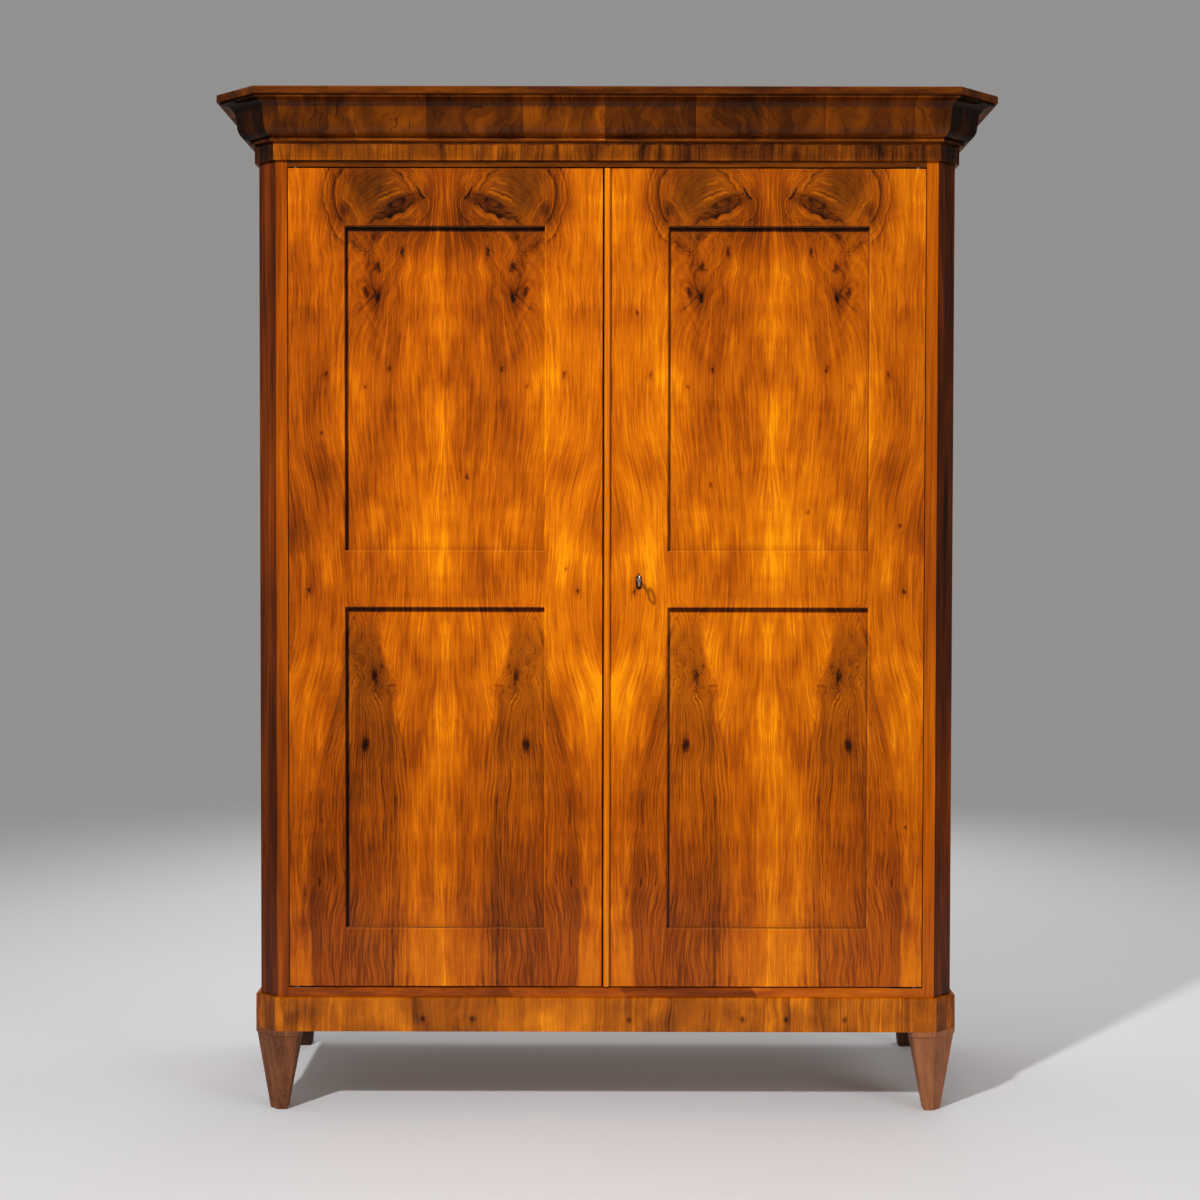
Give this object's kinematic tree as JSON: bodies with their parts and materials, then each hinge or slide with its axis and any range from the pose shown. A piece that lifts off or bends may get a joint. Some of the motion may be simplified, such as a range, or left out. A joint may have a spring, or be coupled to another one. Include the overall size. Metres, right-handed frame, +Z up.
{
  "type": "linen cabinet",
  "caption": "Tall free-standing linen cabinet with framed doors on hidden pivots, a lock with its key, inside shelves, chamfered front corners, an ogee cornice and tapered feet.",
  "frame": {"origin": "on the floor, under the middle of the overall box", "axes": "+X to the right seen from the front, +Y to the back, +Z up"},
  "size_m": [1.512, 0.642, 1.98],
  "materials": {
    "walnut_door_veneer": "book-matched veneer, French polished",
    "walnut_cross_veneer": "cross-grain veneer, French polished",
    "walnut_long_veneer": "straight-grain veneer, French polished",
    "walnut_feet": "solid wood, satin polish",
    "stained_softwood": "dark stain",
    "softwood": "planed, unpolished",
    "iron": "forged, dark",
    "key_steel": "worn bright steel",
    "dark_brass": "aged, dark"
  },
  "bodies": {
    "carcass": {"foot_front_left": "walnut_feet", "foot_front_right": "walnut_feet", "foot_rear_left": "stained_softwood", "foot_rear_right": "stained_softwood", "plinth_front": "walnut_cross_veneer", "plinth_corners": "walnut_cross_veneer", "plinth_side_left": "walnut_cross_veneer", "plinth_side_right": "walnut_cross_veneer", "frieze_front": "walnut_cross_veneer", "frieze_corners": "walnut_cross_veneer", "frieze_side_left": "walnut_cross_veneer", "frieze_side_right": "walnut_cross_veneer", "cornice_front": "walnut_cross_veneer", "cornice_corners": "walnut_cross_veneer", "cornice_side_left": "walnut_cross_veneer", "cornice_side_right": "walnut_cross_veneer", "post_front_left": "walnut_long_veneer", "post_front_right": "walnut_long_veneer", "post_rear_left": "walnut_long_veneer", "post_rear_right": "walnut_long_veneer", "side_rails_left": "walnut_long_veneer", "side_rails_right": "walnut_long_veneer", "side_panels_left": "walnut_long_veneer", "side_panels_right": "walnut_long_veneer", "threshold_rail": "walnut_long_veneer", "head_rail": "walnut_long_veneer", "cornice_cap": "walnut_long_veneer", "base_corner_blocks": "softwood", "plinth_back": "softwood", "bottom_board": "softwood", "top_board": "softwood", "crown_back_rail": "softwood", "back_boards": "softwood", "shelves": "softwood", "shelf_cleats": "softwood", "pivot_sockets": "iron"},
    "left_door": {"left_hinge_stile": "walnut_door_veneer", "left_meeting_stile": "walnut_door_veneer", "left_top_rail": "walnut_door_veneer", "left_middle_rail": "walnut_door_veneer", "left_bottom_rail": "walnut_door_veneer", "left_upper_panel": "walnut_door_veneer", "left_lower_panel": "walnut_door_veneer", "left_door_pivots": "iron", "bolt_guides": "iron"},
    "right_door": {"right_hinge_stile": "walnut_door_veneer", "right_meeting_stile": "walnut_door_veneer", "right_top_rail": "walnut_door_veneer", "right_middle_rail": "walnut_door_veneer", "right_bottom_rail": "walnut_door_veneer", "right_upper_panel": "walnut_door_veneer", "right_lower_panel": "walnut_door_veneer", "astragal_bead": "walnut_long_veneer", "lock_case": "iron", "escutcheon": "dark_brass", "right_door_pivots": "iron"},
    "key": {"key": "key_steel"},
    "lock_bolt": {"lock_bolt": "iron"},
    "left_top_bolt": {"left_top_bolt": "iron"},
    "left_bottom_bolt": {"left_bottom_bolt": "iron"}
  },
  "joints": [
    {"name": "left_door_swing", "type": "hinge", "parent": "carcass", "child": "left_door", "pos_m": [-0.603, -0.238, 0.2485], "axis": [0, 0, -1], "range_deg": [0, 115]},
    {"name": "right_door_swing", "type": "hinge", "parent": "carcass", "child": "right_door", "pos_m": [0.603, -0.238, 0.2485], "axis": [0, 0, 1], "range_deg": [0, 115]},
    {"name": "key_turn", "type": "hinge", "parent": "right_door", "child": "key", "pos_m": [0.063, -0.244, 1.0435], "axis": [0, -1, 0], "range_deg": [0, 360]},
    {"name": "lock_bolt_slide", "type": "slide", "parent": "right_door", "child": "lock_bolt", "axis": [-1, 0, 0], "range_m": [0, 0.012]},
    {"name": "left_top_bolt_slide", "type": "slide", "parent": "left_door", "child": "left_top_bolt", "axis": [0, 0, 1], "range_m": [0, 0.012]},
    {"name": "left_bottom_bolt_slide", "type": "slide", "parent": "left_door", "child": "left_bottom_bolt", "axis": [0, 0, -1], "range_m": [0, 0.012]}
  ],
  "couplings": [
    {"joint": "key_turn", "follows": "lock_bolt_slide", "rad_per_m": 523.6}
  ]
}
